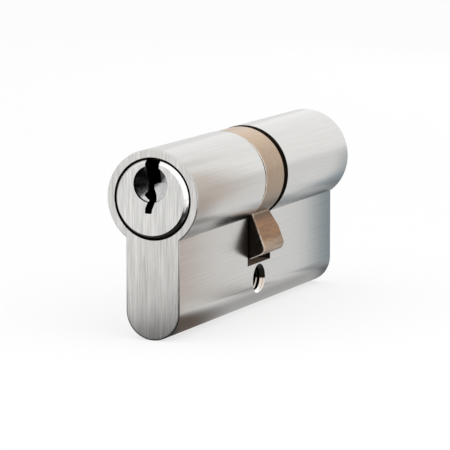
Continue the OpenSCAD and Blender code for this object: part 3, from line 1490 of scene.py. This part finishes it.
@dataclass
class Cam:
    """The ring between the plugs, its web, and the tongue that throws the bolt."""

    bore: float = 6.53
    hub: float = 7.4
    hub_ease: float = 0.1
    web: float = 0.85
    web_hole: float = 3.2
    clip_room: float = 7.8
    clip_depth: float = -4.2
    hub_end: float = 4.25
    ring_end: float = 3.64
    ring_edge: float = 0.12
    near_edge: float = 0.26
    tongue: float = 15.32
    flare_start: float = 9.3
    flare_end: float = 11.3
    root_width: float = 5.3
    tip_width: float = 4.7
    tip_round: float = 1.3
    tongue_edge: float = 0.22
    root_depth: float = 1
    tip_steps: int = 8
    lean: float = 24
    facets: int = 144
    clutch_gap: float = 0.05
    past: float = 2

    def __post_init__(self) -> None:
        """Reads the cam's extent from the frame."""
        extent = Extent.of("cam")
        self.start, self.tongue_end, self.ring = extent.low.y, extent.high.y, extent.high.z

    def ring_shape(self) -> Solid:
        """Turns the ring with its hub and web.

        Returns:
            The ring.
        """
        edge, near_edge, ring, ease = self.ring_edge, self.near_edge, self.ring, self.hub_ease
        outline = [
            (0, -self.web), (self.bore, -self.web), (self.bore, self.clip_depth),
            (self.clip_room, self.clip_depth), (self.clip_room, self.start),
            (ring - near_edge, self.start), (ring - near_edge / 3, self.start + near_edge / 3),
            (ring, self.start + near_edge), (ring, self.ring_end - edge),
            (ring - edge / 3, self.ring_end - edge / 3), (ring - edge, self.ring_end),
            (self.hub, self.ring_end), (self.hub, self.hub_end - ease),
            (self.hub - ease, self.hub_end), (self.bore + ease, self.hub_end),
            (self.bore, self.hub_end - ease), (self.bore, self.web), (0, self.web),
        ]
        ring_shape = Solid.turned(outline, steps=self.facets)
        near, far = self.start + near_edge, self.ring_end - edge

        def light_and_wear(middle: Vector) -> bool:
            """Picks the chamfers of the ring."""
            out = middle.xz.length
            return ring - near_edge < out < ring - TOUCH * 50 and not near < middle.y < far

        return ring_shape.wearing(Face.RIM, light_and_wear)

    def tongue_shape(self) -> Solid:
        """Draws the tongue: flared past the ring, round at its tip and eased at its edges.

        Returns:
            The tongue.
        """
        root, turn, steps = self.ring - self.root_depth, self.tip_round, self.tip_steps
        side, centre = self.tip_width / 2 - turn, turn - self.tongue
        outline = [
            (-self.root_width / 2, -root), *arc((-side, centre), turn, 180, 270, steps),
            *arc((side, centre), turn, 270, 360, steps), (self.root_width / 2, -root),
        ]
        tongue = Solid.bar(outline, self.start, self.tongue_end)
        mesh = tongue.mesh
        bmesh.ops.bisect_plane(
            mesh, geom=[*mesh.verts, *mesh.edges, *mesh.faces], dist=TOUCH,
            plane_co=(0, 0, -self.flare_end), plane_no=(0, 0, 1),
        )
        slope = (self.tongue_end - self.ring_end) / (self.flare_end - self.flare_start)
        far_root = [v for v in mesh.verts if v.co.y > 0 and v.co.z > -root - TOUCH]
        bmesh.ops.translate(mesh, verts=far_root, vec=(0, slope * (root - self.flare_end), 0))
        mesh.normal_update()

        def outer(edge: bmesh.types.BMEdge) -> bool:
            """Picks the edges round both sides, apart from the root.

            Args:
                edge: The edge.

            Returns:
                Whether it is one of them.
            """
            sides = [abs(face.normal.y) > 0.6 for face in edge.link_faces]
            past_root = any(v.co.z < -root - TOUCH for v in edge.verts)
            return any(sides) and not all(sides) and past_root

        # The tongue's near face wears the near-black cut finish, painted shade.
        tongue.wearing(Face.CUT, lambda m: m.y < self.start + TOUCH)
        tongue.softened(self.tongue_edge, outer, 3, Face.RIM)
        return tongue.swung(Matrix.Rotation(math.radians(-self.lean), 4, "Y"))

    def build(self, finishes: Sequence[bpy.types.Material]) -> None:
        """Makes the cam.

        Args:
            finishes: Its finishes, in the order of Face.
        """
        body = self.ring_shape().joined(self.tongue_shape())
        clutch = Extent.of("outside_coupling")
        wide, tall = clutch.high.x + self.clutch_gap, clutch.high.z + self.clutch_gap
        body.cut(
            Solid.rod((0, -self.past, 0), 2 * self.past, self.web_hole, Axis.Y).wearing(Face.CUT),
            Solid.block((-wide, -self.past, -tall), (wide, self.past, tall)).wearing(Face.CUT),
        )
        piece = body.piece("cam_ring_and_tongue", finishes)
        hand_over(piece, "cam", "cam_bronze", "cam")


@dataclass
class SpringClip:
    """The clip that holds a plug in its half, open towards the stem."""

    half: Half
    gap: float = 1.6
    inner: float = 5.87
    lug_hole: float = 0.45
    lug_x: float = 2.9
    lug_z: float = -6.75
    lug_facets: int = 20
    ease: float = 0.06
    past: float = 1

    def build(self, finish: bpy.types.Material) -> None:
        """Makes the clip.

        Args:
            finish: The finish of its spring steel.
        """
        extent = Extent.of("outside_circlip")
        near, far, outer = extent.low.y, extent.high.y, extent.high.z
        ring = Solid.turned([(self.inner, near), (outer, near), (outer, far), (self.inner, far)],
                            ease=self.ease)
        start, end = near - self.past, far + self.past
        ring.cut(Solid.block((-self.gap, start, -outer - self.past), (self.gap, end, 0)))
        ring.cut(*(
            Solid.rod((side * self.lug_x, start, self.lug_z), end - start, self.lug_hole,
                      Axis.Y, steps=self.lug_facets)
            for side in (-1, 1)
        ))
        ring.swung(self.half.turn())
        piece = ring.piece(f"{self.half.value}_clip_ring", [finish])
        hand_over(piece, self.half.node("plug"), "spring_steel", self.half.node("circlip"))


@dataclass
class ClutchHalf:
    """The sliding dog that locks a plug to the cam: a cross bar with a round nose."""

    half: Half
    nose: float = 1.4
    nose_taper: Point = (0.5, 0.7)
    nose_root: float = 0.5
    nose_ease: float = 0.1
    bar_start: float = -3
    ease: float = 0.18
    facets: int = 48

    def build(self, finish: bpy.types.Material) -> None:
        """Makes this half of the clutch.

        Args:
            finish: The finish of its hardened steel.
        """
        extent = Extent.of("outside_coupling")
        low = (extent.low.x, self.bar_start, extent.low.z)
        bar = Solid.block(low, tuple(extent.high)).softened(self.ease, lambda edge: True)
        tip, root, (inward, slope) = extent.low.y, self.bar_start + self.nose_root, self.nose_taper
        nose = Solid.turned([
            (0, tip), (self.nose - inward, tip), (self.nose, tip + slope), (self.nose, root),
            (0, root),
        ], ease=self.nose_ease, steps=self.facets)
        bar.joined(nose).swung(self.half.turn())
        shift = Extent.of(self.half.node("coupling")).high.y - max(
            v.co.y for v in bar.mesh.verts)
        bar.moved((0, shift, 0))
        piece = bar.piece(f"{self.half.value}_clutch_half", [finish])
        hand_over(piece, self.half.node("coupling"), "hardened_steel", self.half.node("coupling"))


@dataclass
class PinStack:
    """One key pin, its driver pin and the spring under them."""

    half: Half
    number: int
    ease: float = 0.06
    key_foot: Point = (0.7, 0.3)
    key_tip: Point = (0.45, 0.85)
    driver_foot: float = 0.25
    driver_top: float = 0.15
    low_collar: float = 1.3
    high_collar: float = 1
    collar_slope: float = 0.4
    spool_depth: float = 0.4
    plain_depth: float = 0.02
    turns: int = 8
    wire_gain: float = 0.05
    closed_pitch: float = 1.08
    facets: int = 48
    coil_steps: int = 20
    wire_sides: int = 10

    def _extent(self, part: str) -> Extent:
        """Reads the extent of one of this stack's parts."""
        return Extent.of(self.half.node(f"{part}_{self.number}"))

    def _hand_over(self, solid: Solid, name: str, finish: bpy.types.Material, slot: str,
                   part: str) -> None:
        """Finishes one part of the stack.

        Args:
            solid: The part.
            name: What its piece is called.
            finish: Its finish.
            slot: The record's material slot.
            part: What its node is called.
        """
        node = self.half.node(f"{part}_{self.number}")
        piece = solid.piece(f"{self.half.value}_{name}_{self.number}", [finish])
        hand_over(piece, node, slot, node)

    def key_pin(self, finish: bpy.types.Material) -> None:
        """Turns the pin that the key lifts, pointed at its tip.

        Args:
            finish: The finish of its metal.
        """
        extent = self._extent("key_pin")
        radius, foot, tip = extent.size.y / 2, extent.low.z, extent.high.z
        (foot_radius, foot_rise), (tip_radius, tip_rise) = self.key_foot, self.key_tip
        pin = Solid.turned([
            (0, foot), (foot_radius, foot), (radius, foot + foot_rise), (radius, tip - tip_rise),
            (tip_radius, tip), (0, tip),
        ], Axis.Z, self.ease, self.facets)
        pin.moved((0, extent.middle.y, 0))
        self._hand_over(pin, "bottom_pin", finish, "pin_brass", "key_pin")

    def driver(self, finish: bpy.types.Material) -> None:
        """Turns the driver: a plain one, or a spool with a narrow waist.

        Args:
            finish: The finish of its metal.
        """
        extent = self._extent("driver_pin")
        radius, foot, top = extent.size.y / 2, extent.low.z, extent.high.z
        waist = radius - (self.spool_depth if self.number % 2 == 0 else self.plain_depth)
        low_ease, top_ease, slope = self.driver_foot, self.driver_top, self.collar_slope
        low, high = foot + self.low_collar, top - self.high_collar
        pin = Solid.turned([
            (0, foot), (radius - low_ease, foot), (radius, foot + low_ease), (radius, low),
            (waist, low + slope), (waist, high - slope), (radius, high), (radius, top - top_ease),
            (radius - top_ease, top), (0, top),
        ], Axis.Z, self.ease, self.facets)
        pin.moved((0, extent.middle.y, 0))
        self._hand_over(pin, "driver", finish, "driver_steel", "driver_pin")

    def spring(self, finish: bpy.types.Material) -> None:
        """Winds the spring: a closed turn at each end and open ones between.

        Args:
            finish: The finish of its metal.
        """
        extent, driver_radius = self._extent("spring"), self._extent("driver_pin").size.y / 2
        # The wire's radius is a little more than the step from the driver's side to the spring's.
        wire = driver_radius - extent.high.x + self.wire_gain
        coil_radius = extent.high.x - wire
        low, high = extent.low.z + wire, extent.high.z - wire
        closed = 2 * wire * self.closed_pitch
        rise = high - low - 2 * closed
        steps, sides = self.coil_steps, self.wire_sides
        coil = Solid()
        ring = bmesh.ops.create_circle(
            coil.mesh, cap_ends=False, segments=sides, radius=wire,
            matrix=Matrix.Translation((coil_radius, 0, low)) @ Matrix.Rotation(
                math.pi / 2, 4, "X"),
        )
        line = [*ring["verts"], *coil.mesh.edges]
        for turns, climb in ((1, closed), (self.turns - 2, rise), (1, closed)):
            made = bmesh.ops.spin(
                coil.mesh, geom=line, cent=(0, 0, 0), axis=(0, 0, 1),
                dvec=(0, 0, climb / (steps * turns)), angle=FULL_TURN * turns,
                steps=steps * turns,
            )
            line = made["geom_last"]
        open_ends = [e for e in coil.mesh.edges if e.is_boundary]
        bmesh.ops.holes_fill(coil.mesh, edges=open_ends, sides=sides)
        coil.outward().swung(self.half.turn()).moved((0, extent.middle.y, 0))
        piece = coil.piece(f"{self.half.value}_coil_{self.number}", [finish])
        driver = self.half.node(f"driver_pin_{self.number}")
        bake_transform(piece)
        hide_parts(self.half.node(f"spring_{self.number}"))
        LOG.info("%s: %d faces, from the housing to %s", piece.name, len(piece.data.polygons),
                 driver)


PIN_STACKS = sum(name.startswith("outside_key_pin_") for name in frame["nodes"])


# Stage


@dataclass(frozen=True)
class Camera:
    """The camera, low on the outside face's right."""

    place: Place = (224.9, -522.1, 73.8)
    aim: Place = (11.5, -30.4, -4.4)
    lens: float = 254.3

    def set_up(self) -> None:
        """Makes the scene's camera."""
        data = bpy.data.cameras.new("camera")
        data.lens, data.sensor_width = self.lens, 36
        data.clip_start, data.clip_end = 0.01, 20
        camera = placed("camera", data)
        line = Vector(self.aim) - Vector(self.place)
        camera.location = Vector(self.place) * MM
        camera.rotation_euler = line.to_track_quat("-Z", "Y").to_euler()
        bpy.context.scene.camera = camera


@dataclass(frozen=True)
class Card:
    """An upright or lying card or lamp, in millimetres.

    Args:
        name: Its name.
        centre: Its middle.
        faces: The point that it faces.
        width: Its width.
        height: Its height.
        glow: Its brightness, where 1 is white.
        tint: Its colour.
        soft: How wide its soft edges are, across and upward.
    """

    name: str
    centre: Place
    faces: Place
    width: float
    height: float
    glow: float
    tint: Colour = (1, 1, 1)
    soft: Point = (1, 1)

    @classmethod
    def beside(cls, name: str, centre: Place, width: float, height: float, tint: Colour,
               soft: Point) -> "Card":
        """Makes a soft-edged card that stands beside the object and faces it squarely."""
        return cls(name, centre, (0, *centre[1:]), width, height, 1, tint, soft)

    def pose(self) -> Matrix:
        """Gives the transform that turns -Z to what the card faces.

        Returns:
            The transform.
        """
        line = Vector(self.faces) - Vector(self.centre)
        turn = line.to_track_quat("-Z", "Y").to_matrix().to_4x4()
        return Matrix.Translation(Vector(self.centre) * MM) @ turn

    def inside(self, g: Graph) -> Field:
        """Goes from 1 in the card's middle to 0 at its edges.

        Args:
            g: The surface's nodes.

        Returns:
            How much of the card there is.
        """
        across, upward, _ = self.pose().to_3x3().transposed()
        step = [axis - middle for axis, middle in zip((g.x, g.y, g.z), self.centre)]
        inside = 1
        sides = ((across, self.width / 2), (upward, self.height / 2))
        for (line, half), soft in zip(sides, self.soft):
            offset = step[0] * line.x + step[1] * line.y + step[2] * line.z
            inside = inside * g.fall(abs(offset), half - soft, half)
        return inside

    def as_lamp(self) -> None:
        """Hangs a soft lamp that only the camera doesn't see."""
        data = bpy.data.lights.new(self.name, "AREA")
        data.shape = "RECTANGLE"
        data.size, data.size_y = self.width * MM, self.height * MM
        data.energy = math.pi * self.glow * data.size * data.size_y
        data.color = self.tint
        lamp = placed(self.name, data)
        lamp.matrix_world = self.pose()
        lamp.visible_camera = False

    def as_flag(self) -> None:
        """Stands a card that shows only in the metal's reflections."""
        flag = bmesh.new()
        shape = Matrix.Diagonal((self.width * MM, self.height * MM, 1, 1))
        bmesh.ops.create_grid(flag, x_segments=1, y_segments=1, size=0.5,
                              matrix=self.pose() @ shape)
        mesh = settled(self.name, flag)
        flag.free()
        g = Graph(self.name)
        light = g.glow((*self.tint, 1), self.glow)
        nothing = g.node("ShaderNodeBsdfTransparent")
        g.end(g.mixed(self.inside(g), nothing, light))
        mesh.materials.append(g.owner)
        obj = placed(self.name, mesh)
        obj.visible_camera = obj.visible_diffuse = obj.visible_shadow = False
        obj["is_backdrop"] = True


@dataclass(frozen=True)
class Patch:
    """A soft-edged shade on the table that only the metal reflects.

    Args:
        middle: Its middle.
        half: Half its sides.
        soft: How wide its soft edge is.
        tone: Its colour.
        skew: How far X leads for each step of Y.
    """

    middle: Point
    half: Point
    soft: float
    tone: Colour
    skew: float = 0

    def over(self, g: Graph, ground: Any) -> Any:
        """Lays the shade over what is there.

        Args:
            g: The table's graph.
            ground: The colour so far.

        Returns:
            The new colour.
        """
        y = g.y - self.middle[1]
        x = g.x - self.middle[0] - self.skew * y
        inside = 1
        for offset, half in ((x, self.half[0]), (y, self.half[1])):
            inside = inside * g.fall(abs(offset), half, half + self.soft)
        return g.between(inside, ground, self.tone)


@dataclass(frozen=True)
class Studio:
    """A pale table under soft lamps, with cards that the metal reflects."""

    floor_z: float
    floor_radius: float = 3000
    floor_white: float = 0.7
    sky: float = 0.99
    sky_diffuse: float = 1

    def cards(self) -> tuple[list[Card], list[Card]]:
        """Lists the lamps and the flags.

        Returns:
            The lamps, and then the flags.
        """
        lamps = [
            Card("key_lamp", (150, -75, 90), (0, -35, 0), 180, 230, 0.4),
            Card("top_lamp", (40, -160, 420), (0, 0, 0), 420, 420, 0.25),
            Card("front_lamp", (-80, -200, 95), (0, -35, 0), 220, 240, 0.2),
            Card("back_lamp", (90, 420, 140), (0, 0, 0), 560, 240, 0.28),
        ]
        flags = [
            Card("camera_flag", (48, -112, 5), (0, -35, 2), 70, 60, 0.02),
            Card("left_flag", (-110, 60, -13), (0, -35, -5), 110, 23, 0.05),
            Card.beside("far_card", (10, 60.6, -12), 62, 30, (0.33, 0.4, 0.44), (17, 4)),
            Card.beside("low_card", (20, -8, -14), 48, 40, (0.72, 0.62, 0.55), (20, 10)),
            Card.beside("mid_card", (20.6, -8, 12), 48, 44, (0.82, 0.74, 0.67), (16, 12)),
            Card.beside("high_card", (12, 3, 27), 30, 24, (0.6, 0.53, 0.47), (13, 9)),
        ]
        return lamps, flags

    def patches(self) -> list[Patch]:
        """Lists the shades that the table shows in the metal, widest first.

        Returns:
            The shades, in the order that they are laid.
        """
        return [
            Patch((3, 28), (2, 48), 7, grey(0.52)),
            Patch((40, -80), (26, 22), 8, grey(0.03)),
            Patch((3, -30), (13, 6), 20, (0.16, 0.13, 0.11)),
            Patch((-4, -40), (24, 9), 3, grey(0.08)),
            Patch((-38, -22), (9, 16), 6, grey(0.05)),
            Patch((28, -46), (10, 7), 5, grey(0.04)),
            Patch((11, -64), (15, 12), 5, grey(0.02)),
            Patch((14.5, 14), (2, 6), 4, (0.35, 0.33, 0.31)),
            Patch((-78, -3), (10, 18), 6, grey(0.04), -2.3),
            Patch((62, -58), (10, 12), 5, grey(0.05), -2.4),
            Patch((50, -24), (18, 14), 10, (0.04, 0.04, 0.05)),
            Patch((190, -15), (70, 35), 15, grey(1.5)),
            Patch((8, 45), (3, 8), 5, (0.42, 0.44, 0.46)),
            Patch((2, 43), (4, 4), 3, (0.24, 0.25, 0.26)),
            Patch((7, 92), (5, 16), 8, (0.2, 0.23, 0.25)),
        ]

    def floor(self) -> None:
        """Lays the table: a plain disc that keeps the object's shadow."""
        disc = bmesh.new()
        bmesh.ops.create_circle(disc, cap_ends=True, segments=96, radius=self.floor_radius * MM,
                                matrix=Matrix.Translation((0, 0, self.floor_z * MM)))
        mesh = settled("table_top", disc)
        disc.free()
        g = Graph("table_white")
        path = g.node("ShaderNodeLightPath").outputs
        seen = g.maths("MAXIMUM", Field(g, path["Is Camera Ray"]),
                       Field(g, path["Is Transmission Ray"]))
        shade = grey(1.0)
        for patch in self.patches():
            shade = patch.over(g, shade)
        matt = g.node("ShaderNodeBsdfDiffuse", {}, {"Color": (0.9, 0.9, 0.9, 1)})
        white, mirrored = g.glow((1, 1, 1, 1)), g.glow(shade)
        pale = g.mixed(seen * self.floor_white, matt, white)
        g.end(g.mixed(path["Is Glossy Ray"], pale, mirrored))
        mesh.materials.append(g.owner)
        obj = placed("table_top", mesh)
        obj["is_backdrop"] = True

    def sky_light(self) -> None:
        """Lights the room evenly, and shows the camera and the metal a white wall."""
        world = bpy.data.worlds.new("studio")
        n = Nodes(world)
        path = n.node("ShaderNodeLightPath").outputs
        plain, shown = (
            n.node("ShaderNodeBackground", {}, {"Color": (1, 1, 1, 1), "Strength": strength})
            for strength in (self.sky_diffuse, self.sky))
        seen = n.maths("SUBTRACT", 1.0, Field(n, path["Is Diffuse Ray"]))
        n.end(n.mixed(seen, plain, shown), "ShaderNodeOutputWorld")
        bpy.context.scene.world = world

    def set_up(self) -> None:
        """Builds the stage."""
        self.floor()
        self.sky_light()
        lamps, flags = self.cards()
        for lamp in lamps:
            lamp.as_lamp()
        for flag in flags:
            flag.as_flag()
        bpy.context.scene.view_settings.view_transform = "Standard"


def dress(nodes: Sequence[str], material: bpy.types.Material) -> None:
    """Gives nodes of the frame a better finish.

    Args:
        nodes: Their names.
        material: The finish.
    """
    for name in nodes:
        for slot in frame["nodes"][name].material_slots:
            slot.material = material
        LOG.info("%s: dressed as %s", name, material.name)


def corners() -> list[list[float]]:
    """Gives the box of what is shown, as plain numbers."""
    return [list(corner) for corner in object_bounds()]


def main() -> None:
    """Builds the stage and every piece."""
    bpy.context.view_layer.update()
    Camera().set_up()

    housing = Housing()
    Studio(housing.foot).set_up()

    # Near-black cut walls: painted shade.
    bore = DarkCut("bore_painted_shade", (0.045, 0.038, 0.032)).material()
    channel = DarkCut("keyway_painted_shade", (0.03, 0.03, 0.03)).material()
    # The housing's plate carries painted shade, its slot floor a painted reflection of the cam,
    # and its screw hole a painted highlight and painted shade.
    housing.build([
        ShadedNickel("satin_nickel_plate", housing.half, stem=housing.stem,
                     foot=housing.foot_centre).material(),
        bore,
        PaintedReflectionFloor("slot_floor_painted_reflection").material(),
        TappedHole("tapped_hole", housing.screw_z, housing.screw_core,
                   housing.stem - housing.mouth_depth).material(),
    ])

    # The key guide's dish and the polished bevel carry painted shade.
    plug_finishes = [
        BrushedNickel("brushed_plug_face", housing.half, (0.58, 0.575, 0.56)).material(),
        channel,
        PressedGuide("key_guide_dish", Plug.guide_rise).material(),
        PolishedNickel("polished_bevel", (0.8, 0.79, 0.78)).material(),
    ]
    stacks = [Extent.of(f"outside_key_pin_{n + 1}").middle.y for n in range(PIN_STACKS)]
    cam = Cam()
    # The cam carries a painted highlight and painted shade; its edges are partly a painted
    # highlight.
    cam_finish = CamBronze("cam_bronze_plate", cam.ring).material()
    cam.build([cam_finish, bore, cam_finish, WornAndLitEdge("cam_edge_wear_and_highlight").material()])

    clip_steel = StampedSteel("clip_spring_steel", (0.36, 0.37, 0.4), 0.3).material()
    clutch_steel = StampedSteel("clutch_hard_steel", (0.3, 0.31, 0.33), 0.34).material()
    wire_steel = StampedSteel("spring_wire", (0.5, 0.51, 0.53), 0.22).material()
    pin_brass = TurnedMetal("pin_brass_turned", (0.66, 0.47, 0.2), 0.24).material()
    driver_steel = TurnedMetal("driver_steel_turned", (0.46, 0.46, 0.48), 0.22).material()
    guard_steel = TurnedMetal("hardened_rod_steel", (0.22, 0.225, 0.25), 0.38).material()
    for half in Half:
        Plug(half).build(stacks, plug_finishes)
        SpringClip(half).build(clip_steel)
        ClutchHalf(half).build(clutch_steel)
        for n in range(PIN_STACKS):
            stack = PinStack(half, n + 1)
            stack.key_pin(pin_brass)
            stack.driver(driver_steel)
            stack.spring(wire_steel)
        dress([half.node("stem_guard"), half.node("plug_guards")], guard_steel)
        dress([half.node("chamber_plugs")], pin_brass)


if __name__ == "__main__":
    logging.basicConfig(level=logging.INFO, format="%(message)s")
    main()
